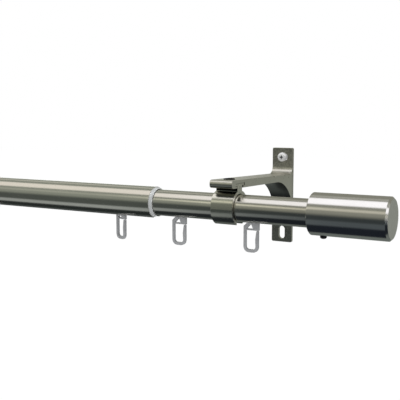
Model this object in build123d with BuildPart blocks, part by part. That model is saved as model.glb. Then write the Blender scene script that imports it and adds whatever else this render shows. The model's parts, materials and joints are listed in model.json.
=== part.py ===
"""Telescopic curtain rod with two wall brackets, turned end caps and gliders.

Millimetres. X runs along the rod to the right, Y towards the wall and Z up. The origin lies on
the wall, level with the rod's axis and straight behind the middle of the right clamp.
"""
from build123d import *
from math import cos, radians, sin, sqrt
import os

# Tubes: a slotted inner tube slides in a slotted outer tube
inner_radius = 10.0
outer_radius = 12.0
tube_wall = 0.8
inner_length = 494.0
outer_length = 500.0
inner_slot = 7.0  # width of the slot that the gliders hang through
outer_slot = 7.8
hem_height = 1.8  # folded slot edge, above the lowest line of the inner tube's bore
drawn_out = 62.3  # from the right clamp's middle to the outer tube's end

# Collar at the outer tube's end and guide on the inner tube's tail
slide_gap = 0.3  # radial, between pieces that slide on each other
fixed_gap = 0.05  # radial, between pieces that are fixed to each other
collar_rim = 2.6
collar_step = 0.4  # of the collar's rim inside the outer tube's surface
collar_bevel = 1.6
collar_lip = 0.4  # thickness that the bevel leaves at the collar's mouth
collar_spigot = 20.0
collar_slot = 8.0
guide_length = 15.4
hidden_sides = 24  # of the rings and plugs that nobody sees, which are many-sided

# Wall brackets: plate and arm in one casting
reach = 100.0  # from the wall to the rod's axis
plate_width = 17.9
plate_height = 79.1
plate_thick = 3.2
plate_drop = 0.5  # the plate's middle lies this far under the rod's axis
plate_corner = 1.2
screw_slot = 5.4  # width of both screw slots
top_slot = 9.0  # length, along X
top_slot_inset = 7.6  # from the plate's upper end to the slot's middle
bottom_slot = 10.8  # length, along Z
bottom_slot_inset = 8.1  # from the plate's lower end to the slot's middle
arm_top = 20.4  # over the rod's axis, at the clamp
arm_rise = 0.03  # rise per length, from the wall to the tip
arm_waist = 5.3  # thickness where the arch starts
tip_overhang = 13.5  # past the rod's axis
tip_flat = 0.15  # left between the upper and the lower round of the arm's nose
tip_corner = 0.6
root_fillet = 6.0
arch_start = 34.0  # from the wall to where the arm's underside starts to curve
arch_foot = -6.0  # height of the arch's foot on the plate

# Clamp: an extruded open ring with square shoulders, a neck and a T head in the arm's T slot
clamp_length = 17.2
clamp_gap = 0.45
clamp_wall = 2.1
clamp_mouth = 8.8
shoulder_gap = 1.15  # under the arm's lips
shoulder_round = 9.2
neck_width = 8.0
head_width = 14.0
head_thick = 1.5
head_gap = 0.1
roof_thick = 2.5  # of the arm over the T slot
lip_thick = 1.75  # of the arm's lips under the T head
lip_gap = 0.4

# Clamp screws
access_hole = 8.8
access_depth = 0.5
clamp_screw_size = 5.0
clamp_screw_head = 8.2
clamp_screw_head_height = 1.3
hex_socket = 2.5
hex_depth = 0.9
tip_clearance = 0.3  # between the clamp screw's tip and the tube

# Wall screws
wall_screw_size = 4.0  # over the thread
wall_screw_neck = 3.4  # of the plain stretch under the head
wall_screw_neck_length = 3.7
wall_screw_head = 7.6
wall_screw_rim = 1.6  # height of the head's straight side
wall_screw_crown = 5.4  # across the head's flat top
wall_screw_head_height = 2.6
wall_screw_length = 18.0
wall_screw_point = 4.0

# End caps: cup, sleeve, plug that stops the gliders, and screw
cap_radius = 14.6
cap_length = 54.2
cap_wall = 1.3
cap_end = 2.4
cap_bevel = 1.4
cap_mouth_bevel = 0.5
cap_distance = 63.8  # from a clamp's middle to the cap's mouth
cap_grip = 32.0  # length of tube inside the cap
sleeve_inset = 1.0
sleeve_split = 4.0  # gap in the sleeve, which the cap's screw passes
plug_inset = 2.0
cap_screw_inset = 7.8
cap_screw_size = 3.0
cap_screw_head = 4.6
cap_screw_rim = 1.6  # height of the head's straight side
cap_screw_crown = 3.4  # across the head's flat top
cap_screw_head_height = 2.1
cap_screw_depth = 6.0  # length of screw inside the tube's bore

# Gliders: carriage in the tube, eye on a neck that swivels in it
carriage_length = 14.0
carriage_thick = 1.8
carriage_corner = 2.0  # cut off at 45 degrees, as are the hub's and the boss's corners
carriage_lift = 0.15  # over the hems that it slides on
carriage_side = 0.35  # to the bore's wall
hub_size = 8.0
hub_corner = 2.0
hub_height = 2.6
boss_length = 8.4
boss_width = 6.2
boss_corner = 1.6
boss_depth = 0.95
neck_diameter = 3.4
neck_gap = 0.1
neck_hole_sides = 8
button_diameter = 5.4
button_sides = 8
button_height = 1.5
arch_gap = 0.3  # between the carriage's boss and the eye's arch
eye_width = 11.6
eye_thick = 2.2
eye_bottom = 31.1  # under the rod's axis
eye_leg = 2.0
eye_sill = 2.2  # thickness of the eye's bottom
eye_corner = 4.2
crossbar_top = 14.0
crossbar_thick = 1.1
block_reach = 6.2  # from the neck's axis to the block's side
block_top = 9.9
shoulder_reach = 3.3
shoulder_foot = 12.3
arch_width = 5.0
arch_window = 10.5  # depth of the small window's upper corner
window_left = 3.3  # reach of the small window's lower corners, on the gate's far and near side
window_right = 1.65
gate_thin = 1.5
gate_thick = 2.4
gate_slit = 0.35  # between the gate's tip and the block
gate_bulge = 21.5  # depth under the rod's axis where the gate is thickest

# Places of the gliders
end_glider_distance = 32.0  # from the left clamp's middle, outwards, on the outer tube
tail_glider_inset = 29.2  # from the inner tube's tail to its first glider
glider_spacing = 42.0  # of the four gliders next to the tail
ahead_glider = -95.5  # from the right clamp's middle, as are the next two
ahead_glider_turn = -20.0
middle_glider = -41.9
cap_glider = 17.9

# Places that follow from the sizes above
outer_right = -drawn_out
outer_left = outer_right - outer_length
inner_right = cap_distance + cap_grip
inner_left = inner_right - inner_length
left_clamp_place = outer_left + cap_grip + cap_distance
inner_bore = inner_radius - tube_wall
outer_bore = outer_radius - tube_wall
hem_top = hem_height - inner_bore
carriage_under = hem_top + carriage_lift
carriage_half = sqrt((inner_bore - carriage_side) ** 2 - carriage_under**2)
end_glider_drop = sqrt(outer_bore**2 - carriage_half**2) - slide_gap + carriage_under
arm_thick = roof_thick + head_thick + 2 * head_gap + lip_thick
slot_ceiling = arm_top - roof_thick
head_top = slot_ceiling - head_gap
head_bottom = head_top - head_thick
seat_height = arm_top - access_depth
plate_low = -plate_drop - plate_height / 2
plate_high = plate_low + plate_height
wall_screw_place = plate_high - top_slot_inset


def across_rod(x):
    """Plane square to the rod at x: sketches there are drawn in Y and Z from the rod's axis."""
    return Plane(origin=(x, -reach, 0), x_dir=(0, 1, 0), z_dir=(1, 0, 0))


def above_rod(x, height):
    """Level plane over the rod at x, with the rod's axis through its origin."""
    return Plane(origin=(x, -reach, height))


def save(part, name):
    """Labels a finished piece and writes its STEP file."""
    part.label = name
    export_step(part, f"parts/{name}.step")


def hemmed_tube():
    """Inner tube: round, slotted below, with the slot's edges folded up inside as tracks."""
    hem = hem_top + inner_radius
    hem_side = (inner_slot + tube_wall) / 2
    with BuildPart() as tube:
        with BuildSketch(across_rod(inner_left)):
            Circle(inner_radius)
            Circle(inner_bore, mode=Mode.SUBTRACT)
            with Locations((hem_side, hem_top - hem / 2), (-hem_side, hem_top - hem / 2)):
                Rectangle(tube_wall, hem)
            with Locations((0, -inner_radius)):
                Rectangle(inner_slot, inner_radius, mode=Mode.SUBTRACT)
            Circle(inner_radius, mode=Mode.INTERSECT)
        extrude(amount=inner_length)
    return tube.part


def plain_tube():
    """Outer tube: round, with a plain slot below that the inner tube's gliders hang through."""
    with BuildPart() as tube:
        with BuildSketch(across_rod(outer_left)):
            Circle(outer_radius)
            Circle(outer_bore, mode=Mode.SUBTRACT)
            with Locations((0, -outer_radius)):
                Rectangle(outer_slot, outer_radius, mode=Mode.SUBTRACT)
        extrude(amount=outer_length)
    return tube.part


def many_sided_bore(radius):
    """Many-sided opening in the sketch at hand, round a circle of this radius."""
    RegularPolygon(radius, hidden_sides, major_radius=False, mode=Mode.SUBTRACT)


def end_collar():
    """Translucent collar: a rim on the outer tube's end and a spigot that guides the inner tube."""
    with BuildPart() as collar:
        with BuildSketch(across_rod(outer_right - collar_spigot)):
            RegularPolygon(outer_bore - fixed_gap, hidden_sides)
            many_sided_bore(inner_radius + slide_gap)
        extrude(amount=collar_spigot)
        with BuildSketch(across_rod(outer_right)):
            Circle(outer_radius - collar_step)
            Circle(inner_radius + slide_gap, mode=Mode.SUBTRACT)
        extrude(amount=collar_rim)
        rim_edge = collar.faces().sort_by(Axis.X)[-1].edges().sort_by(SortBy.RADIUS)[-1]
        rim_depth = outer_radius - collar_step - inner_radius - slide_gap
        chamfer(rim_edge, collar_bevel, length2=rim_depth - collar_lip)
        with BuildSketch(across_rod(outer_right - collar_spigot)):
            with Locations((0, -outer_radius)):
                Rectangle(collar_slot, outer_radius)
        extrude(amount=collar_spigot + collar_rim, mode=Mode.SUBTRACT)
    return collar.part


def tail_guide():
    """Ring on the inner tube's tail: runs in the outer tube and stops at the collar's spigot."""
    with BuildPart() as guide:
        with BuildSketch(across_rod(inner_left)):
            RegularPolygon(outer_bore - slide_gap, hidden_sides)
            many_sided_bore(inner_radius + fixed_gap)
            with Locations((0, -outer_radius)):
                Rectangle(collar_slot, outer_radius, mode=Mode.SUBTRACT)
        extrude(amount=guide_length)
    return guide.part


def arm_line(distance, drop=0.0):
    """Point on the arm's sloping top, a distance from the wall and a drop below it."""
    return (-distance, arm_top + (distance - reach) * arm_rise - drop)


def bracket(x):
    """Casting of one width: wall plate, arm with an arched underside, and a tip with a T slot."""
    side_plane = Plane(origin=(x, 0, 0), x_dir=(0, 1, 0), z_dir=(1, 0, 0))
    wall_plane = Plane(origin=(x, 0, 0), x_dir=(1, 0, 0), z_dir=(0, -1, 0))
    tip = reach + tip_overhang
    slot_half = head_width / 2 + lip_gap
    lip_half = neck_width / 2 + 2 * lip_gap
    tip_under = Vector(*arm_line(tip, arm_thick))
    arch_under = Vector(*arm_line(arch_start, arm_waist))
    with BuildPart() as casting:
        with BuildSketch(side_plane) as profile:
            with BuildLine():
                Polyline(
                    (-plate_thick, arch_foot),
                    (-plate_thick, plate_low),
                    (0, plate_low),
                    (0, plate_high),
                    (-plate_thick, plate_high),
                    arm_line(plate_thick),
                    arm_line(tip),
                    tip_under,
                    arch_under,
                )
                TangentArc(
                    arch_under,
                    (-plate_thick, arch_foot),
                    tangent=arch_under - tip_under,
                )
            make_face()
            root = profile.vertices().sort_by_distance((*arm_line(plate_thick), 0))[0]
            fillet(root, root_fillet)
            nose = profile.vertices().sort_by(Axis.X)[:2]
            fillet(nose, (arm_thick - tip_flat) / 2)
            with Locations((-reach, (slot_ceiling + head_bottom - head_gap) / 2)):
                Rectangle(2 * slot_half, head_thick + 2 * head_gap, mode=Mode.SUBTRACT)
            with Locations((-reach, head_bottom - arm_thick / 2)):
                Rectangle(2 * lip_half, arm_thick, mode=Mode.SUBTRACT)
        extrude(amount=plate_width / 2, both=True)
        with BuildSketch(Plane(origin=(x, -tip / 2, 0))) as plan:
            Rectangle(plate_width, tip)
            fillet(plan.vertices().sort_by(Axis.Y)[:2], tip_corner)
        extrude(amount=plate_height, both=True, mode=Mode.INTERSECT)
        with BuildSketch(wall_plane):
            with Locations((0, wall_screw_place)):
                SlotOverall(top_slot, screw_slot)
            with Locations((0, plate_low + bottom_slot_inset)):
                SlotOverall(bottom_slot, screw_slot, rotation=90)
        extrude(amount=plate_thick, mode=Mode.SUBTRACT)
        with Locations(above_rod(x, seat_height + access_depth)):
            CounterBoreHole(
                clamp_screw_size / 2 + head_gap,
                access_hole / 2,
                access_depth,
                depth=roof_thick,
            )
        corner_edges = casting.edges().filter_by(Axis.Y).group_by(Axis.Z)
        fillet(corner_edges[0] + corner_edges[-1], plate_corner)
    return casting.part


def clamp(x, tube_radius):
    """Open ring round a tube, with square shoulders, a neck and the T head that slides in the arm."""
    bore = tube_radius + clamp_gap
    ring = bore + clamp_wall
    shoulder_top = arm_top - arm_thick - shoulder_gap
    with BuildPart() as body:
        with BuildSketch(across_rod(x)) as section:
            with Locations((0, shoulder_top / 2)):
                Rectangle(2 * ring, shoulder_top)
            fillet(section.vertices().group_by(Axis.Y)[-1], shoulder_round)
            Circle(ring)
            with Locations((0, head_bottom / 2)):
                Rectangle(neck_width, head_bottom)
            with Locations((0, head_bottom + head_thick / 2)):
                Rectangle(head_width, head_thick)
            Circle(bore, mode=Mode.SUBTRACT)
            with Locations((0, -ring)):
                Rectangle(clamp_mouth, ring, mode=Mode.SUBTRACT)
        extrude(amount=clamp_length / 2, both=True)
        with Locations(above_rod(x, head_top)):
            Hole(clamp_screw_size / 2, depth=head_top - tube_radius)
    return body.part


def clamp_screw(x, tube_radius):
    """Low-headed screw from the arm's top, through the T head and neck, to just over the tube."""
    tip = tube_radius + tip_clearance
    with BuildPart() as screw:
        with BuildSketch(above_rod(x, tip)):
            Circle(clamp_screw_size / 2)
        extrude(amount=seat_height - tip)
        with BuildSketch(above_rod(x, seat_height)):
            Circle(clamp_screw_head / 2)
        extrude(amount=clamp_screw_head_height)
        with BuildSketch(above_rod(x, seat_height + clamp_screw_head_height)):
            RegularPolygon(hex_socket / 2, 6, major_radius=False)
        extrude(amount=-hex_depth, mode=Mode.SUBTRACT)
    return screw.part


def wall_screw(x):
    """Pan-head screw through the plate's upper slot, with its thread in the wall."""
    seat = -plate_thick
    top = seat - wall_screw_head_height
    tip = seat + wall_screw_length
    neck_end = seat + wall_screw_neck_length
    shank = wall_screw_size / 2
    neck = wall_screw_neck / 2
    head = wall_screw_head / 2
    with BuildPart() as screw:
        with BuildSketch(Plane(origin=(x, 0, wall_screw_place), x_dir=(0, 1, 0), z_dir=(1, 0, 0))):
            with BuildLine():
                Polyline(
                    (top, 0),
                    (tip, 0),
                    (tip - wall_screw_point, shank),
                    (neck_end, shank),
                    (neck_end, neck),
                    (seat, neck),
                    (seat, head),
                    (seat - wall_screw_rim, head),
                    (top, wall_screw_crown / 2),
                    close=True,
                )
            make_face()
        revolve(axis=Axis((x, 0, wall_screw_place), (0, 1, 0)))
    return screw.part


def cap(x, side):
    """Turned cup with its mouth at x, closed towards the given side, and the screw's hole below."""
    mouth = across_rod(x)
    with BuildPart() as cup:
        with BuildSketch(mouth):
            Circle(cap_radius)
        extrude(amount=side * cap_length)
        end_rims = cup.edges().filter_by(GeomType.CIRCLE).sort_by(Axis.X)
        chamfer(end_rims[-1] if side > 0 else end_rims[0], cap_bevel)
        with BuildSketch(mouth):
            Circle(cap_radius - cap_wall)
        extrude(amount=side * (cap_length - cap_end), mode=Mode.SUBTRACT)
        mouth_rims = cup.edges().filter_by(GeomType.CIRCLE).group_by(Axis.X)[0 if side > 0 else -1]
        chamfer(mouth_rims.sort_by(SortBy.RADIUS)[-1], cap_mouth_bevel)
        with BuildSketch(above_rod(x + side * cap_screw_inset, -cap_radius)):
            Circle(cap_screw_size / 2)
        extrude(amount=cap_radius, mode=Mode.SUBTRACT)
    return cup.part


def cap_sleeve(x, side, tube_radius):
    """Split bush that fills the cap's mouth round the tube; the cap's screw passes its split."""
    with BuildPart() as sleeve:
        with BuildSketch(across_rod(x + side * sleeve_inset)):
            RegularPolygon(cap_radius - cap_wall - fixed_gap, hidden_sides)
            many_sided_bore(tube_radius + fixed_gap)
            with Locations((0, -cap_radius)):
                Rectangle(sleeve_split, cap_radius, mode=Mode.SUBTRACT)
        extrude(amount=side * (cap_grip - sleeve_inset))
    return sleeve.part


def cap_plug(x, side, tube_radius, slot, hems):
    """Plug in the tube's end: stops the gliders, and its rib in the slot takes the cap's screw."""
    bore = tube_radius - tube_wall
    with BuildPart() as plug:
        with BuildSketch(across_rod(x + side * plug_inset)):
            RegularPolygon(bore - fixed_gap, hidden_sides)
            if hems:
                hem_side = (inner_slot + tube_wall) / 2
                hem = hem_top + inner_radius
                with Locations((hem_side, hem_top - hem / 2), (-hem_side, hem_top - hem / 2)):
                    Rectangle(
                        tube_wall + 2 * fixed_gap, hem + 2 * fixed_gap, mode=Mode.SUBTRACT
                    )
            with Locations((0, -bore / 2)):
                Rectangle(slot - 2 * fixed_gap, bore)
        extrude(amount=side * (cap_grip - plug_inset))
        with BuildSketch(above_rod(x + side * cap_screw_inset, -tube_radius)):
            Circle(cap_screw_size / 2)
        extrude(amount=tube_wall + cap_screw_depth, mode=Mode.SUBTRACT)
    return plug.part


def cap_screw(x, side, tube_radius):
    """Short screw up through the cap and the sleeve's split into the plug's rib."""
    place = x + side * cap_screw_inset
    seat = -cap_radius
    top = seat - cap_screw_head_height
    tip = -tube_radius + tube_wall + cap_screw_depth
    shank = cap_screw_size / 2
    head = cap_screw_head / 2
    with BuildPart() as screw:
        with BuildSketch(Plane(origin=(place, -reach, 0), x_dir=(1, 0, 0), z_dir=(0, -1, 0))):
            with BuildLine():
                Polyline(
                    (0, top),
                    (0, tip),
                    (shank, tip),
                    (shank, seat),
                    (head, seat),
                    (head, seat - cap_screw_rim),
                    (cap_screw_crown / 2, top),
                    close=True,
                )
            make_face()
        revolve(axis=Axis((place, -reach, 0), (0, 0, 1)))
    return screw.part


def cut_corners(length, width, corner):
    """Rectangle with its corners cut off, in the sketch at hand."""
    with BuildSketch(mode=Mode.PRIVATE) as outline:
        Rectangle(length, width)
        chamfer(outline.vertices(), corner)
    add(outline.sketch)


def carriage(x, drop):
    """Sled in the tube: wings on the hems, a boss in the slot and a hub that carries the eye."""
    under = carriage_under - drop
    with BuildPart() as sled:
        with BuildSketch(above_rod(x, under)):
            cut_corners(carriage_length, 2 * carriage_half, carriage_corner)
        extrude(amount=carriage_thick)
        with BuildSketch(above_rod(x, under)):
            cut_corners(hub_size, hub_size, hub_corner)
        extrude(amount=hub_height)
        with BuildSketch(above_rod(x, under)):
            cut_corners(boss_length, boss_width, boss_corner)
        extrude(amount=-boss_depth)
        with BuildSketch(above_rod(x, under - boss_depth)):
            RegularPolygon(neck_diameter / 2 + neck_gap, neck_hole_sides, major_radius=False)
        extrude(amount=boss_depth + hub_height, mode=Mode.SUBTRACT)
    return sled.part


def eye(x, drop, turn):
    """Glider's eye: button and neck over a flat ring with a spring gate, in one moulding."""
    facing = Plane(
        origin=(x, -reach, -drop),
        x_dir=(cos(radians(turn)), sin(radians(turn)), 0),
        z_dir=(sin(radians(turn)), -cos(radians(turn)), 0),
    )
    arch = carriage_under - boss_depth - arch_gap
    seat = carriage_under + hub_height + neck_gap
    half = eye_width / 2
    inner_half = half - eye_leg
    sill = -eye_bottom + eye_sill
    bar_low = -crossbar_top - crossbar_thick
    with BuildPart() as ring:
        with BuildSketch(facing) as face:
            with BuildLine():
                Polyline(
                    (-arch_width / 2, arch),
                    (arch_width / 2, arch),
                    (shoulder_reach, -block_top),
                    (block_reach, -block_top),
                    (block_reach, bar_low),
                    (half, bar_low),
                    (half, -eye_bottom),
                    (-half, -eye_bottom),
                    (-half, -shoulder_foot),
                    (-shoulder_reach, -block_top),
                    close=True,
                )
            make_face()
            fillet(face.vertices().group_by(Axis.Y)[0], eye_corner)
            with BuildLine():
                Polyline(
                    (-inner_half, bar_low),
                    (-inner_half, sill),
                    (inner_half, sill),
                    (half - gate_thick, -gate_bulge),
                    (half - gate_thin, bar_low),
                    close=True,
                )
            make_face(mode=Mode.SUBTRACT)
            window_foot = [
                face.vertices().sort_by_distance((corner, sill, 0))[0]
                for corner in (-inner_half, inner_half)
            ]
            fillet(window_foot, eye_corner - eye_leg)
            with BuildLine():
                Polyline(
                    (0, -arch_window),
                    (-window_left, -crossbar_top),
                    (window_right, -crossbar_top),
                    close=True,
                )
            make_face(mode=Mode.SUBTRACT)
            with Locations((half, bar_low - gate_slit / 2)):
                Rectangle(2 * gate_thick, gate_slit, mode=Mode.SUBTRACT)
        extrude(amount=eye_thick / 2, both=True)
        with BuildSketch(above_rod(x, -block_top - drop)):
            Circle(neck_diameter / 2)
        extrude(amount=seat + block_top)
        with BuildSketch(above_rod(x, seat - drop)):
            RegularPolygon(button_diameter / 2, button_sides)
        extrude(amount=button_height)
    return ring.part


os.makedirs("parts", exist_ok=True)
save(hemmed_tube(), "inner_tube")
save(plain_tube(), "outer_tube")
save(end_collar(), "end_collar")
save(tail_guide(), "tail_guide")
sides = {
    "right": (0.0, 1, inner_radius, inner_slot, True),
    "left": (left_clamp_place, -1, outer_radius, outer_slot, False),
}
for name, (place, side, radius, slot, hems) in sides.items():
    mouth = place + side * cap_distance
    save(bracket(place), f"{name}_bracket")
    save(clamp(place, radius), f"{name}_clamp")
    save(clamp_screw(place, radius), f"{name}_clamp_screw")
    save(wall_screw(place), f"{name}_wall_screw")
    save(cap(mouth, side), f"{name}_cap")
    save(cap_sleeve(mouth, side, radius), f"{name}_cap_sleeve")
    save(cap_plug(mouth, side, radius, slot, hems), f"{name}_cap_plug")
    save(cap_screw(mouth, side, radius), f"{name}_cap_screw")
tail_glider = inner_left + tail_glider_inset
gliders = {
    "glider_1": (left_clamp_place - end_glider_distance, end_glider_drop, 0.0),
    "glider_2": (tail_glider, 0.0, 0.0),
    "glider_3": (tail_glider + glider_spacing, 0.0, 0.0),
    "glider_4": (tail_glider + 2 * glider_spacing, 0.0, 0.0),
    "glider_5": (tail_glider + 3 * glider_spacing, 0.0, 0.0),
    "glider_6": (ahead_glider, 0.0, ahead_glider_turn),
    "glider_7": (middle_glider, 0.0, 0.0),
    "glider_8": (cap_glider, 0.0, 0.0),
}
for name, (place, drop, turn) in gliders.items():
    save(carriage(place, drop), f"{name}_carriage")
    save(eye(place, drop, turn), f"{name}_eye")
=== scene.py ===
"""Looks of a telescopic curtain rod: finishes, screws, softened castings, studio and viewpoint.

The rod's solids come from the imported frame. This script dresses them, models the screws with
their threads and recesses, rounds the edges of the castings, clamps and eyes, and lights the
rod in a graded studio tent. Metres throughout.
"""

import json
import logging
import math
from dataclasses import dataclass
from enum import Enum
from functools import reduce
from typing import Callable

import bmesh
import bpy
from mathutils import Matrix, Vector

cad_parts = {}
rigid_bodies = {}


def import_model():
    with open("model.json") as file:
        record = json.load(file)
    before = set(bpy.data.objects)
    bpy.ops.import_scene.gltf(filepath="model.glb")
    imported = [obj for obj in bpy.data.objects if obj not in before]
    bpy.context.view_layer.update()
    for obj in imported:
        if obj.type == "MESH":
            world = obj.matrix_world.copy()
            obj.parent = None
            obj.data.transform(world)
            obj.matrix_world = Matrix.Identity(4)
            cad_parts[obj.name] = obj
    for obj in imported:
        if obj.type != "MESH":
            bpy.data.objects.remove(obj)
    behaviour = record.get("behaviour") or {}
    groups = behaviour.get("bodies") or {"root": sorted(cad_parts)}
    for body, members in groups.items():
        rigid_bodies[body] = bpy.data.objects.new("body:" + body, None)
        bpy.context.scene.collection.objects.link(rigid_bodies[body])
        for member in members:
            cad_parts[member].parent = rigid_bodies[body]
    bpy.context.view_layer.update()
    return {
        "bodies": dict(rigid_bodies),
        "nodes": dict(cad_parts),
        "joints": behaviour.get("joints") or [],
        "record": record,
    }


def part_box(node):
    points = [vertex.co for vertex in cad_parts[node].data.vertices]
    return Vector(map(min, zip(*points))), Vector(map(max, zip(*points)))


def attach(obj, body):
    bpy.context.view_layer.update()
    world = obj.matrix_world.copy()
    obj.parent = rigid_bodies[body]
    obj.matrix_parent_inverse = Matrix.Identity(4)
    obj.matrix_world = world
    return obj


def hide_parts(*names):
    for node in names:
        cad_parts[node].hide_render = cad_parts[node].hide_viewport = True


LOG = logging.getLogger("curtain_rod")
MM = 0.001
WELD = 0.002 * MM  # vertices closer than this are one
AXIS_Y = -100.0 * MM  # the rod's axis, which lies along X at height zero
BEYOND = 400.0  # degrees, past every point of the tent

Colour = tuple[float, float, float]
Point = tuple[float, float, float]
WHITE: Colour = (1.0, 1.0, 1.0)


class Side(Enum):
    """End of the rod, with the radius of its tube."""

    RIGHT = 10.0 * MM
    LEFT = 12.0 * MM

    @property
    def word(self) -> str:
        """Lower-case name used in node names."""
        return self.name.lower()


class Grain(Enum):
    """Direction that fine scratches follow, as the pattern's stretch on each axis."""

    ALONG_ROD = (0.02, 1.0, 1.0)
    SAWN = (1.0, 0.5, 1.0)
    FLOWED = (1.0, 1.0, 0.4)
    NONE = (1.0, 1.0, 1.0)


class Drive(Enum):
    """Recess in a screw's head."""

    CROSS = "cross"
    HEX = "hex"


class Heading(Enum):
    """Direction that a screw's head faces, as the turn about X from straight up."""

    UP = 0.0
    DOWN = math.pi
    ROOM = math.pi / 2


class Wire:
    """A shader socket that can be used in Python expressions."""

    def __init__(self, surface: "Surface", socket: bpy.types.NodeSocket | None) -> None:
        """Wraps a socket.

        Args:
            surface: material that the socket belongs to.
            socket: output socket of one of its nodes.
        """
        self.surface = surface
        self.socket = socket

    def _math(self, operation: str, *values: "Wire | float") -> "Wire":
        """Adds a Math node.

        Args:
            operation: the node's operation.
            values: its inputs, in order.

        Returns:
            The node's result.
        """
        inputs = dict(enumerate(values))
        return self.surface.node("ShaderNodeMath", {"operation": operation}, inputs)

    def __add__(self, other: "Wire | float") -> "Wire":
        """Sum."""
        return self._math("ADD", self, other)

    __radd__ = __add__

    def __sub__(self, other: "Wire | float") -> "Wire":
        """Difference."""
        return self._math("SUBTRACT", self, other)

    def __rsub__(self, other: "Wire | float") -> "Wire":
        """Difference with the socket taken away."""
        return self._math("SUBTRACT", other, self)

    def __mul__(self, other: "Wire | float") -> "Wire":
        """Product."""
        return self._math("MULTIPLY", self, other)

    __rmul__ = __mul__

    def __neg__(self) -> "Wire":
        """The value with its sign turned."""
        return self._math("MULTIPLY", self, -1.0)

    def __abs__(self) -> "Wire":
        """The value without its sign."""
        return self._math("ABSOLUTE", self)

    def larger(self, other: "Wire | float") -> "Wire":
        """The larger of two values."""
        return self._math("MAXIMUM", self, other)

    def root(self) -> "Wire":
        """Square root."""
        return self._math("SQRT", self)

    def degrees_to(self, across: "Wire") -> "Wire":
        """Angle in degrees whose tangent is this value over the other."""
        return self._math("ARCTAN2", self, across) * math.degrees(1.0)

    def swing(self, width: float) -> "Wire":
        """A value between zero and one, turned into a swing of a given width about zero."""
        return (self - 0.5) * width

    def step(self, low: float, high: float) -> "Wire":
        """Smooth rise from zero at low to one at high."""
        return self.surface.node(
            "ShaderNodeMapRange",
            {"interpolation_type": "SMOOTHSTEP"},
            {"Value": self, "From Min": low, "From Max": high, "To Min": 0.0, "To Max": 1.0},
        )


class Surface:
    """A node material under construction."""

    def __init__(self, name: str, tree: bpy.types.NodeTree | None = None) -> None:
        """Starts an empty material, or empties a given tree such as the world's.

        Args:
            name: the material's name.
            tree: node tree to use in place of a new material's.
        """
        self.material: bpy.types.Material | None = None
        if tree is None:
            self.material = bpy.data.materials.new(name)
            self.material.use_nodes = True
            tree = self.material.node_tree
        self.tree = tree
        self.tree.nodes.clear()

    def node(
        self,
        kind: str,
        settings: dict[str, object],
        inputs: "dict[int | str, Wire | object]",
        output: int | str = 0,
    ) -> Wire:
        """Adds a node, sets it up and connects it.

        Args:
            kind: node type.
            settings: attributes, set first.
            inputs: values or wires by socket name or number.
            output: which output to return.

        Returns:
            The chosen output.
        """
        made = self.tree.nodes.new(kind)
        for name, value in settings.items():
            setattr(made, name, value)
        for key, value in inputs.items():
            if isinstance(value, Wire):
                self.tree.links.new(value.socket, made.inputs[key])
            else:
                made.inputs[key].default_value = value
        return Wire(self, made.outputs[output] if len(made.outputs) else None)

    def place(self) -> Wire:
        """Position on the piece, in metres."""
        return self.node("ShaderNodeTexCoord", {}, {}, "Object")

    def part_of(self, vector: Wire, axis: str) -> Wire:
        """One component of a vector."""
        return self.node("ShaderNodeSeparateXYZ", {}, {0: vector}, axis)

    def looked_at(self) -> Wire:
        """One where the camera looks, also in a mirror or through a piece, and zero as light."""
        rays = ("Is Camera Ray", "Is Glossy Ray", "Is Transmission Ray")
        camera, *others = (self.node("ShaderNodeLightPath", {}, {}, ray) for ray in rays)
        return reduce(Wire.larger, others, camera)

    def glow(self, colour: object, strength: float) -> Wire:
        """Shader that glows in a colour."""
        return self.node("ShaderNodeEmission", {}, {"Color": colour, "Strength": strength})

    def noise(self, scale: float, detail: float = 2.0, grain: Grain = Grain.NONE) -> Wire:
        """Noise between zero and one.

        Args:
            scale: grains per metre.
            detail: octaves.
            grain: direction that it follows.

        Returns:
            The noise's value.
        """
        inputs = {"Vector": self.place(), "Scale": grain.value}
        where = self.node("ShaderNodeMapping", {"vector_type": "POINT"}, inputs)
        return self.noise_at(where, scale, detail)

    def noise_at(self, where: Wire, scale: float, detail: float) -> Wire:
        """Noise between zero and one, read at a given place."""
        inputs = {"Vector": where, "Scale": scale, "Detail": detail, "Roughness": 0.6}
        return self.node("ShaderNodeTexNoise", {}, inputs)

    def mixed(
        self, share: "Wire | float", first: object, second: object, blend: str = "MIX"
    ) -> Wire:
        """Blend of two colours.

        Args:
            share: how much of the second shows.
            first: colour or wire.
            second: colour or wire.
            blend: how the second lies on the first.

        Returns:
            The blended colour.
        """
        settings = {"data_type": "RGBA", "blend_type": blend}
        return self.node("ShaderNodeMix", settings, {0: share, 6: first, 7: second}, 2)

    def shaded(self, share: Wire, tint: Colour, darkest: float, brightest: float) -> Wire:
        """One tint at a varying level.

        Args:
            share: zero where it is darkest, one where it is brightest.
            tint: the colour.
            darkest: its level at zero.
            brightest: its level at one.

        Returns:
            The varied colour.
        """
        return self.mixed(share, rgba(tint, darkest), rgba(tint, brightest))

    def bump(self, height: Wire, strength: float, distance: float) -> Wire:
        """Normal bent by a height.

        Args:
            height: height from zero to one.
            strength: how strongly it bends the normal.
            distance: real height of one, in metres.

        Returns:
            The bent normal.
        """
        inputs = {"Height": height, "Strength": strength, "Distance": distance}
        return self.node("ShaderNodeBump", {}, inputs)

    def end(self, shader: Wire, kind: str = "ShaderNodeOutputMaterial") -> None:
        """Connects a shader to an output node, the material's or the world's."""
        self.node(kind, {}, {"Surface": shader})

    def finish(self, **inputs: object) -> bpy.types.Material:
        """Ends the material with a principled shader.

        Args:
            inputs: the shader's sockets, with underscores for spaces.

        Returns:
            The material.
        """
        sockets = {name.replace("_", " "): value for name, value in inputs.items()}
        self.end(self.node("ShaderNodeBsdfPrincipled", {}, sockets))
        return self.material


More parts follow.
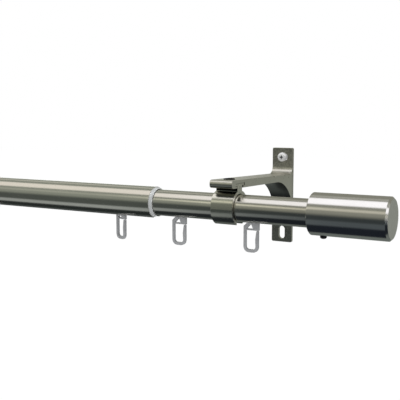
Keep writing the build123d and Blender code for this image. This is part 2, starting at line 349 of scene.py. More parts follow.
def rgba(colour: Colour, level: float = 1.0) -> tuple[float, float, float, float]:
    """Colour times a level, with full alpha."""
    return (*(part * level for part in colour), 1.0)


@dataclass(frozen=True)
class SatinTube:
    """Nickel plate on drawn tube: fine lengthwise scratches over a faintly cloudy tone."""

    name: str = "tube_nickel"
    tint: Colour = (0.75, 0.73, 0.68)
    roughness: float = 0.16
    scratch_scale: float = 9000.0
    scratch_depth: float = 0.004 * MM
    scratch_share: float = 0.35
    scratch_roughness: float = 0.10
    cloud_scale: float = 55.0
    cloud_roughness: float = 0.05

    def make(self) -> bpy.types.Material:
        """Builds the material."""
        surface = Surface(self.name)
        scratches = surface.noise(self.scratch_scale, grain=Grain.ALONG_ROD)
        cloud = surface.noise(self.cloud_scale, detail=3.0)
        tone = scratches * self.scratch_share + cloud * (1.0 - self.scratch_share)
        swings = scratches.swing(self.scratch_roughness) + cloud.swing(self.cloud_roughness)
        return surface.finish(
            Base_Color=surface.shaded(tone, self.tint, darkest=0.92, brightest=1.05),
            Metallic=1.0,
            Roughness=self.roughness + swings,
            Normal=surface.bump(scratches, strength=0.2, distance=self.scratch_depth),
        )


@dataclass(frozen=True)
class CastNickel:
    """Nickel plate on a casting: orange peel and pits, painted shade underneath, darker and mottled
    on the plate.
    """

    name: str = "cast_nickel"
    tint: Colour = (0.70, 0.685, 0.62)
    underside: Colour = (0.10, 0.11, 0.12)
    underside_share: float = 0.6
    roughness: float = 0.29
    peel_scale: float = 900.0
    peel_depth: float = 0.035 * MM
    pit_scale: float = 2600.0
    pit_share: float = 0.3
    pit_level: float = 0.55
    pit_depth: float = 0.5
    pit_roughness: float = 0.08
    cloud_scale: float = 90.0
    cloud_roughness: float = 0.12
    mottle_scale: float = 700.0
    mottle_share: float = 0.3
    dull_share: float = 0.15
    dull_level: float = 0.3
    plate_front: float = -3.6 * MM
    plate_blend: float = 0.4 * MM

    def make(self) -> bpy.types.Material:
        """Builds the material."""
        surface = Surface(self.name)
        peel = surface.noise(self.peel_scale, detail=3.0)
        pits = surface.noise(self.pit_scale, detail=1.0).step(low=0.62, high=0.72)
        cloud = surface.noise(self.cloud_scale, detail=3.0)
        colour = surface.shaded(cloud, self.tint, darkest=0.9, brightest=1.07)
        # Painted shade: faces that point down, as in the arch and under the arm, are darkened
        # towards a dark blue-grey.
        facing = surface.node("ShaderNodeTexCoord", {}, {}, "Normal")
        under = (-surface.part_of(facing, "Z")).step(low=0.15, high=0.6)
        colour = surface.mixed(under * self.underside_share, colour, rgba(self.underside))
        depth = surface.part_of(surface.place(), "Y")
        plate = depth.step(self.plate_front - self.plate_blend, self.plate_front)
        mottle = surface.noise(self.mottle_scale).step(low=0.4, high=0.6)
        # The plate is darker than the arm, unevenly in a mottled pattern.
        plate_darker = plate * (mottle * self.mottle_share + self.dull_share)
        colour = surface.mixed(plate_darker, colour, rgba(self.tint, self.dull_level))
        pitted = rgba(self.tint, self.pit_level)
        height = peel - pits * self.pit_depth
        swings = cloud.swing(self.cloud_roughness) + pits * self.pit_roughness
        return surface.finish(
            Base_Color=surface.mixed(pits * self.pit_share, colour, pitted),
            Metallic=1.0,
            Roughness=self.roughness + swings,
            Normal=surface.bump(height, strength=0.45, distance=self.peel_depth),
        )


@dataclass(frozen=True)
class SawnNickel:
    """Nickel plate on a sawn piece of extrusion, with saw marks at its ends and painted shade on
    its neck.
    """

    name: str
    middle: float
    half_length: float
    shoulder: float
    tint: Colour = (0.77, 0.76, 0.68)
    roughness: float = 0.20
    end_skin: float = 0.05 * MM
    end_roughness: float = 0.2
    drawn_scale: float = 7000.0
    drawn_roughness: float = 0.1
    drawn_depth: float = 0.1
    saw_scale: float = 2600.0
    saw_depth: float = 0.04 * MM
    neck_level: float = 0.03

    def make(self) -> bpy.types.Material:
        """Builds the material."""
        surface = Surface(self.name)
        along = surface.part_of(surface.place(), "X") - self.middle
        height = surface.part_of(surface.place(), "Z")
        skin_start = self.half_length - 2 * self.end_skin
        ends = abs(along).step(skin_start, self.half_length - self.end_skin)
        # Painted shade: above the shoulder the neck is darkened almost to black, where it lies in
        # the shadow of the arm's nose.
        neck = height.step(self.shoulder, self.shoulder + self.end_skin)
        drawn = surface.noise(self.drawn_scale, grain=Grain.ALONG_ROD)
        grit = surface.noise(self.saw_scale, grain=Grain.SAWN)
        skin = surface.shaded(drawn, self.tint, darkest=0.9, brightest=1.04)
        skin = surface.mixed(neck, skin, rgba(self.tint, self.neck_level))
        gritty = grit.step(low=0.3, high=0.7)
        cut = surface.shaded(gritty, self.tint, darkest=0.62, brightest=1.25)
        marks = drawn * self.drawn_depth * (1.0 - ends) + grit * ends
        swings = drawn.swing(self.drawn_roughness) + ends * self.end_roughness
        return surface.finish(
            Base_Color=surface.mixed(ends, skin, cut),
            Metallic=1.0,
            Roughness=self.roughness + swings,
            Normal=surface.bump(marks, strength=0.4, distance=self.saw_depth),
        )


@dataclass(frozen=True)
class TurnedNickel:
    """Nickel plate on a turned cup: fine rings round the axis, rougher on the end face."""

    name: str
    end_place: float
    tint: Colour = (0.85, 0.835, 0.80)
    roughness: float = 0.15
    end_skin: float = 0.2 * MM
    end_share: float = 0.5
    end_level: float = 0.8
    end_roughness: float = 0.14
    ring_scale: float = 2600.0
    ring_depth: float = 0.012 * MM
    ring_roughness: float = 0.06
    side_depth: float = 0.12
    cloud_scale: float = 70.0

    def make(self) -> bpy.types.Material:
        """Builds the material."""
        surface = Surface(self.name)
        place = surface.place()
        along = surface.part_of(place, "X")
        across = surface.part_of(place, "Y") - AXIS_Y
        height = surface.part_of(place, "Z")
        radius = (across * across + height * height).root()
        near_end = 1.0 - abs(along - self.end_place).step(0.5 * self.end_skin, self.end_skin)
        unrolled = surface.node("ShaderNodeCombineXYZ", {}, {"X": along + radius})
        rings = surface.noise_at(unrolled, self.ring_scale, detail=3.0)
        cloud = surface.noise(self.cloud_scale, detail=3.0)
        tone = (rings + cloud) * 0.5
        colour = surface.shaded(tone, self.tint, darkest=0.9, brightest=1.06)
        swings = rings.swing(self.ring_roughness) + near_end * self.end_roughness
        relief = rings * (self.side_depth + near_end)
        end_tint = rgba(self.tint, self.end_level)
        return surface.finish(
            Base_Color=surface.mixed(near_end * self.end_share, colour, end_tint),
            Metallic=1.0,
            Roughness=self.roughness + swings,
            Normal=surface.bump(relief, strength=0.3, distance=self.ring_depth),
        )


@dataclass(frozen=True)
class Moulding:
    """Moulded plastic with a faint flow pattern and a fine spark-eroded skin."""

    name: str
    tint: Colour
    roughness: float
    inside: float = 0.0
    inside_reach: float = 2.0 * MM
    clear: float = 0.0
    flow_scale: float = 160.0
    skin_scale: float = 5000.0
    skin_depth: float = 0.02 * MM
    skin_roughness: float = 0.12

    def make(self) -> bpy.types.Material:
        """Builds the material."""
        surface = Surface(self.name)
        flow = surface.noise(self.flow_scale, grain=Grain.FLOWED)
        skin = surface.noise(self.skin_scale, detail=1.0)
        return surface.finish(
            Base_Color=surface.shaded(flow, self.tint, darkest=0.88, brightest=1.08),
            Roughness=self.roughness + skin.swing(self.skin_roughness),
            Subsurface_Weight=self.inside,
            Subsurface_Radius=(self.inside_reach,) * 3,
            Transmission_Weight=self.clear,
            Normal=surface.bump(skin, strength=0.15, distance=self.skin_depth),
        )


@dataclass(frozen=True)
class ScrewSteel:
    """Plated or blackened screw steel with a mottled skin."""

    name: str
    tint: Colour
    roughness: float
    metallic: float = 0.0
    shine: float = 0.0
    mottle_scale: float = 1800.0
    mottle_roughness: float = 0.15
    speck_scale: float = 7000.0
    speck_depth: float = 0.01 * MM

    def make(self) -> bpy.types.Material:
        """Builds the material."""
        surface = Surface(self.name)
        mottle = surface.noise(self.mottle_scale, detail=3.0)
        specks = surface.noise(self.speck_scale, detail=1.0)
        return surface.finish(
            Base_Color=surface.shaded(mottle, self.tint, darkest=0.8, brightest=1.1),
            Metallic=self.metallic,
            Specular_IOR_Level=self.shine,
            Roughness=self.roughness + mottle.swing(self.mottle_roughness),
            Normal=surface.bump(specks, strength=0.2, distance=self.speck_depth),
        )


Finish = SatinTube | CastNickel | SawnNickel | TurnedNickel | Moulding | ScrewSteel

TUBE = SatinTube()
CAST = CastNickel()
ZINC = ScrewSteel("bright_zinc", (0.95, 0.96, 0.97), roughness=0.3, metallic=0.3, shine=0.5)
SHADED_ZINC = ScrewSteel("zinc_in_recess", (0.10, 0.10, 0.11), 0.5, metallic=0.3, shine=0.1)
BLACK = ScrewSteel("black_oxide", (0.016, 0.016, 0.018), roughness=0.5, shine=0.05)
# Black oxide again, darker and without shine: painted shade for the clamp screw, which sits deep in
# its sink.
BLACK_WITH_PAINTED_SHADE = ScrewSteel("black_in_sink", (0.006, 0.006, 0.006), roughness=0.6)
GREY = Moulding("grey_moulding", (0.46, 0.47, 0.48), roughness=0.40, inside=0.25)
MILKY = Moulding("milky_moulding", (0.80, 0.82, 0.82), roughness=0.32, inside=0.35, clear=0.25)
INNER = Moulding("black_moulding", (0.035, 0.035, 0.037), roughness=0.5)


class Workshop:
    """The frame's nodes and bodies, the finishes made so far, and the ways to add a piece."""

    def __init__(self, frame: dict[str, object]) -> None:
        """Keeps the frame.
        """
        self.nodes: dict[str, bpy.types.Object] = frame["nodes"]
        bodies = frame["record"]["behaviour"]["bodies"]
        self.body_of = {node: body for body, members in bodies.items() for node in members}
        self.made: dict[str, bpy.types.Material] = {}

    def material(self, finish: Finish) -> bpy.types.Material:
        """The finish's material, made at its first use."""
        if finish.name not in self.made:
            self.made[finish.name] = finish.make()
        return self.made[finish.name]

    def dress(self, finish: Finish, *names: str) -> None:
        """Puts a finish on CAD nodes.

        Args:
            finish: what they are made of.
            names: the nodes.
        """
        for name in names:
            for slot in self.nodes[name].material_slots:
                slot.link = "OBJECT"
                slot.material = self.material(finish)
            LOG.info("%s wears %s", name, finish.name)

    def stand_in(self, piece: bpy.types.Object, node: str, finish: Finish) -> None:
        """Lets a modelled piece stand for a CAD node.

        Args:
            piece: the piece, in place.
            node: the node that it replaces.
            finish: what it is made of.
        """
        if not piece.data.materials:
            piece.data.materials.append(self.material(finish))
        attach(piece, self.body_of[node])
        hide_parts(node)
        LOG.info("%s stands for %s in %s", piece.name, node, finish.name)


class Bench:
    """Modelling steps on one mesh, with the operators that a person would use."""

    def __init__(self, piece: bpy.types.Object) -> None:
        """Takes an object to work on."""
        self.piece = piece
        self.take()

    def take(self) -> None:
        """Makes the piece the only one selected, in object mode."""
        self.fresh()
        self.piece.select_set(True)
        bpy.context.view_layer.objects.active = self.piece

    @staticmethod
    def fresh() -> None:
        """Goes to object mode and deselects all that there is."""
        if bpy.context.mode != "OBJECT":
            bpy.ops.object.mode_set(mode="OBJECT")
        bpy.ops.object.select_all(action="DESELECT")

    @classmethod
    def line(cls, name: str, points: list[Vector]) -> "Bench":
        """Open line of edges, drawn by extruding one vertex from point to point.

        Args:
            name: the object's name.
            points: the line's points.

        Returns:
            The bench with the new object, in edit mode.
        """
        cls.fresh()
        bpy.ops.mesh.primitive_plane_add(size=MM, location=(0, 0, 0))
        bench = cls(bpy.context.object)
        bench.piece.name = name
        bpy.ops.object.mode_set(mode="EDIT")
        bpy.ops.mesh.select_all(action="SELECT")
        bpy.ops.mesh.merge(type="CENTER")
        bpy.ops.transform.translate(value=points[0])
        for before, after in zip(points, points[1:]):
            bpy.ops.mesh.extrude_vertices_move(TRANSFORM_OT_translate={"value": after - before})
        return bench

    @classmethod
    def lathe(cls, name: str, points: list[Vector], steps: int) -> "Bench":
        """Closed turned form about the Z axis.

        Args:
            name: the object's name.
            points: half outline, from the axis back to the axis.
            steps: facets round the axis.

        Returns:
            The bench with the new object, in object mode.
        """
        bench = cls.line(name, points)
        bpy.ops.mesh.select_all(action="SELECT")
        bpy.ops.mesh.spin(steps=steps, angle=math.tau, center=(0, 0, 0), axis=(0, 0, 1))
        bench.close()
        return bench

    def close(self) -> None:
        """Merges doubles, turns the faces outwards and leaves edit mode."""
        bpy.ops.mesh.select_all(action="SELECT")
        bpy.ops.mesh.remove_doubles(threshold=WELD)
        bpy.ops.mesh.normals_make_consistent(inside=False)
        bpy.ops.object.mode_set(mode="OBJECT")

    def pick(self, test: Callable[[Vector], bool]) -> int:
        """Selects the vertices whose place passes a test, in edit mode.

        Args:
            test: takes a vertex's place.

        Returns:
            How many were selected.
        """
        bpy.ops.mesh.select_mode(type="VERT")
        bpy.ops.mesh.select_all(action="DESELECT")
        bpy.ops.object.mode_set(mode="OBJECT")
        picked = [vertex for vertex in self.piece.data.vertices if test(vertex.co)]
        for vertex in picked:
            vertex.select = True
        bpy.ops.object.mode_set(mode="EDIT")
        return len(picked)

    def apply(self, kind: str, **settings: object) -> None:
        """Adds a modifier, sets it and applies it.

        Args:
            kind: the modifier's type.
            settings: its attributes.
        """
        self.take()
        modifier = self.piece.modifiers.new(kind.lower(), kind)
        for name, value in settings.items():
            setattr(modifier, name, value)
        bpy.ops.object.modifier_apply(modifier=modifier.name)

    def combine(self, other: bpy.types.Object, operation: str) -> None:
        """Adds another object's form or takes it away, and throws that object away."""
        self.apply("BOOLEAN", object=other, operation=operation, solver="EXACT")
        bpy.data.objects.remove(other)

    def join(self, other: bpy.types.Object) -> None:
        """Takes another object's mesh into this piece."""
        self.take()
        other.select_set(True)
        bpy.ops.object.join()

    def put(self, place: Point, turn_x: float) -> None:
        """Turns the piece about X, moves it and writes both into its mesh."""
        self.take()
        self.piece.rotation_euler = (turn_x, 0.0, 0.0)
        self.piece.location = place
        bpy.ops.object.transform_apply(location=True, rotation=True, scale=True)

    def smooth(self, degrees: float) -> None:
        """Shades the piece smooth, except over edges sharper than the angle."""
        self.take()
        bpy.ops.object.shade_smooth_by_angle(angle=math.radians(degrees))


@dataclass
class Softened:
    """Copy of a CAD node with its outer edges rounded, as casting or moulding leaves them.

    Edges within bore_reach of the point bore stay sharp. reshape moves points before the rounding.
    """

    node: str
    radius: float
    bore: Vector | None = None
    bore_reach: float = 0.0
    reshape: Callable[[Vector], Vector] | None = None
    segments: int = 2
    flat_angle: float = 0.6
    sharp_angle: float = 34.0

    def build(self, shop: Workshop) -> bpy.types.Object:
        """Copies the node's mesh and rounds its edges.

        Args:
            shop: where the node is.

        Returns:
            The new piece.
        """
        mesh = shop.nodes[self.node].data.copy()
        mesh.materials.clear()
        piece = bpy.data.objects.new(f"{self.node}_form", mesh)
        bpy.context.scene.collection.objects.link(piece)
        bench = Bench(piece)
        bpy.ops.object.mode_set(mode="EDIT")
        bpy.ops.mesh.customdata_custom_splitnormals_clear()
        bpy.ops.mesh.select_all(action="SELECT")
        bpy.ops.mesh.remove_doubles(threshold=WELD)
        bpy.ops.mesh.dissolve_limited(angle_limit=math.radians(self.flat_angle))
        bpy.ops.object.mode_set(mode="OBJECT")
        if self.reshape is not None:
            for vertex in mesh.vertices:
                vertex.co = self.reshape(vertex.co)
        self._weigh(mesh)
        bench.apply(
            "BEVEL", width=self.radius, segments=self.segments,
            limit_method="WEIGHT", use_clamp_overlap=False,
        )
        bench.smooth(self.sharp_angle)
        bench.apply("WEIGHTED_NORMAL", keep_sharp=True)
        return piece

    def _weigh(self, mesh: bpy.types.Mesh) -> None:
        """Marks the edges that are rounded: those that stand out sharply, but none near a bore.

        Args:
            mesh: the copy of the node's mesh.
        """
        form = bmesh.new()
        form.from_mesh(mesh)
        weights = form.edges.layers.float.new("bevel_weight_edge")
        for edge in form.edges:
            middle = (edge.verts[0].co + edge.verts[1].co) / 2
            bored = self.bore is not None and (middle - self.bore).length < self.bore_reach
            sharp = edge.calc_face_angle_signed() > math.radians(self.sharp_angle)
            edge[weights] = float(sharp and not bored)
        form.to_mesh(mesh)
        form.free()


@dataclass
class Screw:
    """Screw with a turned head, a recess and a helical thread. Its axis is Z and its head is up."""

    node: str
    heading: Heading
    drive: Drive
    head_radius: float
    head_height: float
    rim_height: float
    neck_radius: float
    neck_length: float
    thread_radius: float
    root_radius: float
    pitch: float
    length: float
    recess_width: float
    recess_depth: float
    point_length: float = 0.0
    point_share: float = 0.08  # of the radius, left at the very tip
    steps: int = 32
    dome_steps: int = 5
    dome_power: float = 0.8
    rim_chamfer: float = 0.1 * MM
    cross_arm: float = 0.28  # width of the cross's arms over their length
    cross_foot: float = 0.45  # what is left of the cross at its bottom
    lit_share: float = 0.18  # of the recess's depth, down to which light gets
    slices: int = 26
    overlap: float = 0.2 * MM  # by which the thread reaches into the neck
    tip_gap: float = 0.15 * MM
    lead: float = 1.07  # pitches from the helix's start to the neck's foot
    valley: float = 0.35  # place of the profile's corners, in pitches
    crest_top: float = 0.62
    crest_foot: float = 0.73
    sharp_angle: float = 35.0

    def build(self, shop: Workshop, finish: Finish, recess_finish: Finish, slot: str) -> None:
        """Models the screw and puts it where its CAD node is.

        Args:
            shop: where the node is.
            finish: what it is made of.
            recess_finish: how the recess looks, which little light reaches.
            slot: the record's material slot; not used.
        """
        head = Bench.lathe(f"{self.node}_form", self._outline(), self.steps)
        head.combine(self._recess(), "DIFFERENCE")
        for part in (finish, recess_finish):
            head.piece.data.materials.append(shop.material(part))
        floor = -self.recess_depth - WELD
        shade = -self.recess_depth * self.lit_share
        for face in head.piece.data.polygons:
            inside = face.center.xy.length < self._recess_radius
            face.material_index = int(inside and floor < face.center.z < shade)
        thread = self._thread()
        thread.data.materials.append(shop.material(finish))
        head.join(thread)
        low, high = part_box(self.node)
        middle = (low + high) / 2
        crown = {
            Heading.UP: (middle.x, middle.y, high.z),
            Heading.DOWN: (middle.x, middle.y, low.z),
            Heading.ROOM: (middle.x, low.y, middle.z),
        }
        head.put(crown[self.heading], self.heading.value)
        head.smooth(self.sharp_angle)
        shop.stand_in(head.piece, self.node, finish)

    @property
    def _recess_radius(self) -> float:
        """Radius of a hexagon as wide as the recess."""
        return self.recess_width / 2 / math.cos(math.pi / 6)

    def _outline(self) -> list[Vector]:
        """Half outline of the head and neck, from the crown's middle to the neck's foot."""
        dome = self.head_height - self.rim_height
        points = []
        for step in range(self.dome_steps + 1):
            angle = math.pi / 2 * step / self.dome_steps
            radius = self.head_radius * math.sin(angle) ** self.dome_power
            points.append(Vector((radius, 0, dome * (math.cos(angle) - 1))))
        foot = -self.head_height - self.neck_length
        corners = [
            (self.head_radius, self.rim_chamfer - self.head_height),
            (self.head_radius - self.rim_chamfer, -self.head_height),
            (self.neck_radius, -self.head_height),
            (self.neck_radius, foot),
            (0.0, foot),
        ]
        return points + [Vector((radius, 0, height)) for radius, height in corners]

    def _recess(self) -> bpy.types.Object:
        """Cutter for the recess: a hexagon, or a cross that narrows downwards."""
        deep = 2 * self.recess_depth
        if self.drive is Drive.HEX:
            Bench.fresh()
            bpy.ops.mesh.primitive_cylinder_add(
                vertices=6, radius=self._recess_radius, depth=deep, location=(0, 0, 0)
            )
            return bpy.context.object
        arms = []
        for turn in (0.0, math.pi / 2):
            Bench.fresh()
            bpy.ops.mesh.primitive_cube_add(size=1.0, location=(0, 0, 0), rotation=(0, 0, turn))
            arm = Bench(bpy.context.object)
            arm.piece.scale = (self.recess_width, self.cross_arm * self.recess_width, deep)
            bpy.ops.object.transform_apply(location=True, rotation=True, scale=True)
            bpy.ops.object.mode_set(mode="EDIT")
            arm.pick(lambda place: place.z < 0)
            narrowing = (self.cross_foot, self.cross_foot, 1.0)
            bpy.ops.transform.resize(value=narrowing, center_override=(0, 0, 0))
            arms.append(arm)
        cross, other = arms
        cross.combine(other.piece, "UNION")
        return cross.piece

    def _thread(self) -> bpy.types.Object:
        """Helical thread from the neck's foot to the tip, closed at both ends."""
        start = -self.head_height - self.neck_length + self.overlap
        tip = -self.length + self.tip_gap
        corners = [
            (self.root_radius, 0.0),
            (self.root_radius, self.valley),
            (self.thread_radius, self.crest_top),
            (self.thread_radius, self.crest_foot),
            (self.root_radius, 1.0),
        ]
        above = Vector((0, 0, start + self.lead * self.pitch))
        profile = [Vector((radius, 0, -down * self.pitch)) + above for radius, down in corners]
        bench = Bench.line(f"{self.node}_thread", profile)
        turns = math.ceil((start - tip) / self.pitch) + 2
        bench.apply(
            "SCREW", axis="Z", angle=math.tau, screw_offset=-self.pitch, iterations=turns,
            steps=self.steps, render_steps=self.steps, use_merge_vertices=False,
        )
        bpy.ops.object.mode_set(mode="EDIT")
        bpy.ops.mesh.select_all(action="SELECT")
        bpy.ops.mesh.remove_doubles(threshold=WELD)
        for height, outer in ((start, True), (tip, False)):
            bpy.ops.mesh.select_all(action="SELECT")
            bpy.ops.mesh.bisect(
                plane_co=(0, 0, height), plane_no=(0, 0, 1), use_fill=True,
                clear_outer=outer, clear_inner=not outer, threshold=WELD / 2,
            )
        if self.point_length:
            self._sharpen(bench, tip)
        bench.close()
        return bench.piece

    def _sharpen(self, bench: Bench, tip: float) -> None:
        """Narrows the thread towards its tip, slice by slice.

        Args:
            bench: the thread, in edit mode.
            tip: height of the tip.
        """
        slice_height = self.point_length / self.slices
        for number in range(self.slices):
            low = tip + number * slice_height if number else -math.inf
            high = tip + (number + 1) * slice_height
            share = self.point_share + (1.0 - self.point_share) * (number + 0.5) / self.slices
            if bench.pick(lambda place: low <= place.z < high):
                bpy.ops.transform.resize(value=(share, share, 1.0), center_override=(0, 0, high))


@dataclass
class WallBracket:
    """Plate and arm in one casting, with its sawn clamp, clamp screw and wall screw."""

    side: Side
    cast_edge: float = 0.3 * MM
    clamp_edge: float = 0.22 * MM
    ring_wall: float = 2.55 * MM
    arm_bore_z: float = 19.5 * MM
    ring_bore_z: float = 11.5 * MM
    bore_reach: float = 5.2 * MM
    shoulder_least: float = 0.01 * MM
    shoulder_most: float = 2.1 * MM
    shoulder_kept: float = 0.2

    def build(self, shop: Workshop) -> None:
        """Builds and dresses the bracket's pieces.

        Args:
            shop: where the nodes are.
        """
        word = self.side.word
        low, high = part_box(f"{word}_clamp")
        middle, half = (low.x + high.x) / 2, (high.x - low.x) / 2
        sawn = SawnNickel(f"{word}_sawn_nickel", middle, half, self.ring_radius)
        arm_bore = Vector((middle, AXIS_Y, self.arm_bore_z))
        ring_bore = Vector((middle, AXIS_Y, self.ring_bore_z))
        casting = Softened(f"{word}_bracket", self.cast_edge, arm_bore, self.bore_reach).build(shop)
        shop.stand_in(casting, f"{word}_bracket", CAST)
        ring = Softened(
            f"{word}_clamp", self.clamp_edge, ring_bore, self.bore_reach, self._slimmer
        ).build(shop)
        shop.stand_in(ring, f"{word}_clamp", sawn)
        # The clamp screw wears the black with painted shade, on its head and in its recess alike.
        self.clamp_screw().build(shop, BLACK_WITH_PAINTED_SHADE, BLACK_WITH_PAINTED_SHADE, "dark_screw")
        self.wall_screw().build(shop, ZINC, SHADED_ZINC, "zinc_screw")

    @property
    def ring_radius(self) -> float:
        """Outer radius of the ring's round part."""
        return self.side.value + self.ring_wall

    def _slimmer(self, place: Vector) -> Vector:
        """Draws the ring's shoulders in towards its round part.

        Args:
            place: a point of the clamp.

        Returns:
            The point, moved if it lies on a shoulder.
        """
        spoke = Vector((0.0, place.y - AXIS_Y, place.z))
        bulge = spoke.length - self.ring_radius
        if place.z <= 0.0 or not self.shoulder_least < bulge < self.shoulder_most:
            return place
        return place - spoke.normalized() * bulge * (1.0 - self.shoulder_kept)

    def clamp_screw(self) -> Screw:
        """Cheese-head screw down through the arm, with a hex socket."""
        return Screw(
            node=f"{self.side.word}_clamp_screw", heading=Heading.UP, drive=Drive.HEX,
            head_radius=4.1 * MM, head_height=1.3 * MM, rim_height=1.0 * MM,
            neck_radius=2.5 * MM, neck_length=1.6 * MM, length=10.9 * MM,
            thread_radius=2.45 * MM, root_radius=2.0 * MM, pitch=0.8 * MM,
            recess_width=2.5 * MM, recess_depth=0.9 * MM,
        )

    def wall_screw(self) -> Screw:
        """Pan-head wood screw through the plate, with a cross recess."""
        return Screw(
            node=f"{self.side.word}_wall_screw", heading=Heading.ROOM, drive=Drive.CROSS,
            head_radius=3.8 * MM, head_height=2.6 * MM, rim_height=1.3 * MM,
            neck_radius=1.7 * MM, neck_length=3.7 * MM, length=20.6 * MM,
            thread_radius=2.0 * MM, root_radius=1.35 * MM, pitch=1.6 * MM,
            recess_width=4.4 * MM, recess_depth=1.5 * MM, point_length=4.0 * MM,
        )


@dataclass
class EndCap:
    """Turned cup with its sleeve, plug and screw."""

    side: Side

    def build(self, shop: Workshop) -> None:
        """Builds and dresses the cap's pieces.

        Args:
            shop: where the nodes are.
        """
        word = self.side.word
        low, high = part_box(f"{word}_cap")
        end = high.x if self.side is Side.RIGHT else low.x
        shop.dress(TurnedNickel(f"{word}_turned_nickel", end), f"{word}_cap")
        shop.dress(INNER, f"{word}_cap_sleeve", f"{word}_cap_plug")
        self.cap_screw().build(shop, BLACK, BLACK, "dark_screw")

    def cap_screw(self) -> Screw:
        """Short domed screw up into the plug."""
        low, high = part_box(f"{self.side.word}_cap_screw")
        return Screw(
            node=f"{self.side.word}_cap_screw", heading=Heading.DOWN, drive=Drive.CROSS,
            head_radius=2.3 * MM, head_height=2.1 * MM, rim_height=0.9 * MM,
            neck_radius=1.5 * MM, neck_length=1.4 * MM, length=high.z - low.z,
            thread_radius=1.45 * MM, root_radius=1.1 * MM, pitch=1.1 * MM,
            recess_width=2.6 * MM, recess_depth=1.1 * MM, steps=24,
        )


@dataclass
class Glider:
    """Sled in the slot and the eye that swivels in it."""

    number: int
    edge: float = 0.3 * MM

    def build(self, shop: Workshop) -> None:
        """Builds and dresses the glider's pieces.

        Args:
            shop: where the nodes are.
        """
        shop.dress(GREY, f"glider_{self.number}_carriage")
        node = f"glider_{self.number}_eye"
        eye = Softened(node, self.edge).build(shop)
        shop.stand_in(eye, node, GREY)


class Tubes:
    """The two tubes, the collar between them and the guide on the inner one's tail."""

    def build(self, shop: Workshop) -> None:
        """Dresses the tubes' pieces.

        Args:
            shop: where the nodes are.
        """
        shop.dress(TUBE, "inner_tube", "outer_tube")
        shop.dress(MILKY, "end_collar")
        shop.dress(INNER, "tail_guide")


@dataclass
class Viewpoint:
    """Camera, placed by fitting a pinhole camera to the rod in the photograph."""

    place: Point = (0.23253, -0.55202, 0.06643)
    forward: Point = (-0.49020, 0.86342, -0.11920)
    focal_pixels: float = 710.35
    image_pixels: float = 400.0
    sensor: float = 36.0
    near: float = 10.0 * MM

    def build(self) -> None:
        """Adds the camera and makes it the scene's."""
        data = bpy.data.cameras.new("viewpoint")
        data.sensor_width = self.sensor
        data.lens = self.focal_pixels / self.image_pixels * self.sensor
        data.clip_start = self.near
        camera = bpy.data.objects.new("viewpoint", data)
        bpy.context.scene.collection.objects.link(camera)
        ahead = Vector(self.forward).normalized()
        right = ahead.cross(Vector((0, 0, 1))).normalized()
        up = right.cross(ahead)
        turn = Matrix((right, up, -ahead)).transposed().to_4x4()
        camera.matrix_world = Matrix.Translation(self.place) @ turn
        bpy.context.scene.camera = camera


@dataclass(frozen=True)
class LightPanel:
    """Glowing strip of the tent, between two angles over the front horizon, in degrees.

    Its colour changes from the rod's right end to its left, and its place by shift. A midway
    strip fades out towards both ends.
    """

    name: str
    fade: float
    right: Colour
    left: Colour
    low: float = -BEYOND
    high: float = BEYOND
    shift: float = 0.0
    midway: bool = False

    def glow(self, surface: Surface, angle: Wire, leftness: Wire) -> Wire:
        """The strip's light.

        Args:
            surface: the tent's material.
            angle: angle of the point on the tent.
            leftness: zero at the rod's right end, one at its left.

        Returns:
            The strip's colour, black outside it.
        """
        LOG.info("panel %s glows from %g to %g degrees", self.name, self.low, self.high)
        turned = angle - leftness * self.shift
        half = self.fade / 2
        rise = turned.step(self.low - half, self.low + half)
        fall = turned.step(self.high - half, self.high + half)
        colour = surface.mixed(leftness, rgba(self.right), rgba(self.left))
        mask = rise * (1.0 - fall)
        if self.midway:
            mask = mask * leftness * (1.0 - leftness) * 4.0  # one at the middle
        return surface.mixed(mask, rgba(WHITE, 0.0), colour)


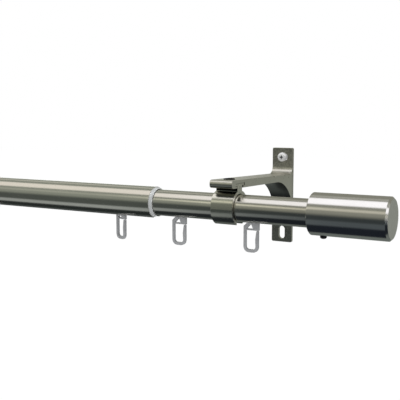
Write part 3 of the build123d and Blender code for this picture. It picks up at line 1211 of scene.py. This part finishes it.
@dataclass
class Studio:
    """Pale floor, white background and a graded tent of soft light round the rod."""

    world_light: float = 0.62
    floor_z: float = -0.36
    floor_size: float = 12.0
    floor_tone: float = 0.9
    floor_glow: float = 1.05
    floor_share: float = 0.92
    tent_radius: float = 0.32
    tent_length: float = 3.2
    tent_middle: float = -0.2
    tent_facets: int = 96
    left_reach: float = 0.35
    lamp_place: Point = (-0.1, -0.35, 0.9)
    lamp_tilt: float = -15.0
    lamp_width: float = 1.6
    lamp_depth: float = 0.5
    lamp_watts: float = 6.0

    def panels(self) -> list[LightPanel]:
        """The tent's strips, whose light adds up."""
        return [
            LightPanel(
                "darkness", fade=1.0,
                right=(0.012, 0.015, 0.021), left=(0.022, 0.027, 0.026),
            ),
            LightPanel(
                "horizon", low=-24.0, fade=16.0, shift=-18.0,
                right=(0.022, 0.026, 0.022), left=(0.060, 0.066, 0.058),
            ),
            LightPanel(
                "room", low=6.0, fade=24.0,
                right=(0.21, 0.205, 0.165), left=(0.20, 0.21, 0.175),
            ),
            LightPanel(
                "front", low=29.0, high=42.0, fade=9.0,
                right=(0.32, 0.30, 0.25), left=(0.12, 0.115, 0.10),
            ),
            LightPanel(
                "window", low=31.0, high=42.0, fade=8.0, midway=True,
                right=(0.34, 0.33, 0.27), left=(0.30, 0.30, 0.24),
            ),
            LightPanel(
                "overhead", low=60.0, high=99.0, fade=9.0, shift=-3.0,
                right=(0.92, 0.91, 1.0), left=(0.64, 0.58, 0.55),
            ),
            LightPanel(
                "ledge", low=106.0, high=121.0, fade=12.0, shift=15.0,
                right=(0.14, 0.14, 0.14), left=(0.27, 0.25, 0.23),
            ),
            LightPanel(
                "backdrop", low=165.0, fade=7.0,
                right=(0.02, 0.02, 0.02), left=(0.80, 0.80, 0.77),
            ),
            LightPanel(
                "behind", high=-150.0, fade=12.0,
                right=(0.14, 0.14, 0.12), left=(0.12, 0.12, 0.12),
            ),
            LightPanel(
                "low_back", high=-105.0, fade=10.0, shift=-8.0,
                right=(0.13, 0.145, 0.13), left=(0.055, 0.06, 0.06),
            ),
            LightPanel(
                "sill", low=-51.0, high=-23.0, fade=12.0, shift=-20.0,
                right=(0.060, 0.070, 0.072), left=(0.33, 0.35, 0.34),
            ),
        ]

    def build(self) -> None:
        """Builds the world, the floor, the tent and the lamp."""
        self._world()
        self._floor()
        self._tent()
        self._lamp()

    def _world(self) -> None:
        """White to the camera and in reflections, and a softer white as light."""
        world = bpy.data.worlds.new("studio")
        bpy.context.scene.world = world
        world.use_nodes = True
        surface = Surface("studio", world.node_tree)
        level = self.world_light + surface.looked_at() * (1.0 - self.world_light)
        white = {"Color": rgba(WHITE), "Strength": level}
        surface.end(surface.node("ShaderNodeBackground", {}, white), "ShaderNodeOutputWorld")

    def _floor(self) -> None:
        """Pale floor that stays white to the camera and keeps a faint shadow."""
        Bench.fresh()
        bpy.ops.mesh.primitive_plane_add(size=self.floor_size, location=(0, 0, self.floor_z))
        floor = bpy.context.object
        floor.name = "floor"
        surface = Surface("pale_floor")
        share = surface.looked_at() * self.floor_share
        tone = rgba(WHITE, self.floor_tone)
        matt = surface.node("ShaderNodeBsdfDiffuse", {}, {"Color": tone})
        glow = surface.glow(rgba(WHITE), self.floor_glow)
        surface.end(surface.node("ShaderNodeMixShader", {}, {0: share, 1: matt, 2: glow}))
        floor.data.materials.append(surface.material)

    def _tent(self) -> None:
        """Tube of light round the rod, seen only in reflections."""
        Bench.fresh()
        bpy.ops.mesh.primitive_cylinder_add(
            vertices=self.tent_facets, radius=self.tent_radius, depth=self.tent_length,
            location=(self.tent_middle, AXIS_Y, 0), rotation=(0, math.pi / 2, 0),
            end_fill_type="NOTHING",
        )
        tent = bpy.context.object
        tent.name = "light_tent"
        bpy.ops.object.transform_apply(location=True, rotation=True, scale=True)
        surface = Surface("tent_cloth")
        place = surface.place()
        towards_room = AXIS_Y - surface.part_of(place, "Y")
        angle = surface.part_of(place, "Z").degrees_to(towards_room)
        leftness = (-surface.part_of(place, "X")).step(low=0.0, high=self.left_reach)
        first, *others = self.panels()
        light = first.glow(surface, angle, leftness)
        for panel in others:
            light = surface.mixed(1.0, light, panel.glow(surface, angle, leftness), "ADD")
        surface.end(surface.glow(light, strength=1.0))
        tent.data.materials.append(surface.material)
        for kind in ("camera", "diffuse", "shadow", "transmission"):
            setattr(tent, f"visible_{kind}", False)

    def _lamp(self) -> None:
        """Soft lamp overhead, kept out of reflections."""
        data = bpy.data.lights.new("overhead", "AREA")
        data.shape = "RECTANGLE"
        data.size = self.lamp_width
        data.size_y = self.lamp_depth
        data.energy = self.lamp_watts
        lamp = bpy.data.objects.new("overhead", data)
        lamp.location = self.lamp_place
        lamp.rotation_euler = (math.radians(self.lamp_tilt), 0, 0)
        lamp.visible_glossy = False
        bpy.context.scene.collection.objects.link(lamp)


def main() -> None:
    """Builds the scene round the frame."""
    logging.basicConfig(level=logging.INFO, format="%(name)s: %(message)s")
    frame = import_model()
    shop = Workshop(frame)
    Tubes().build(shop)
    for side in Side:
        WallBracket(side).build(shop)
        EndCap(side).build(shop)
    gliders = sum(node.endswith("_eye") for node in frame["nodes"])
    for number in range(1, gliders + 1):
        Glider(number).build(shop)
    Studio().build()
    Viewpoint().build()
    bpy.context.scene.view_settings.view_transform = "Standard"


if __name__ == "__main__":
    main()
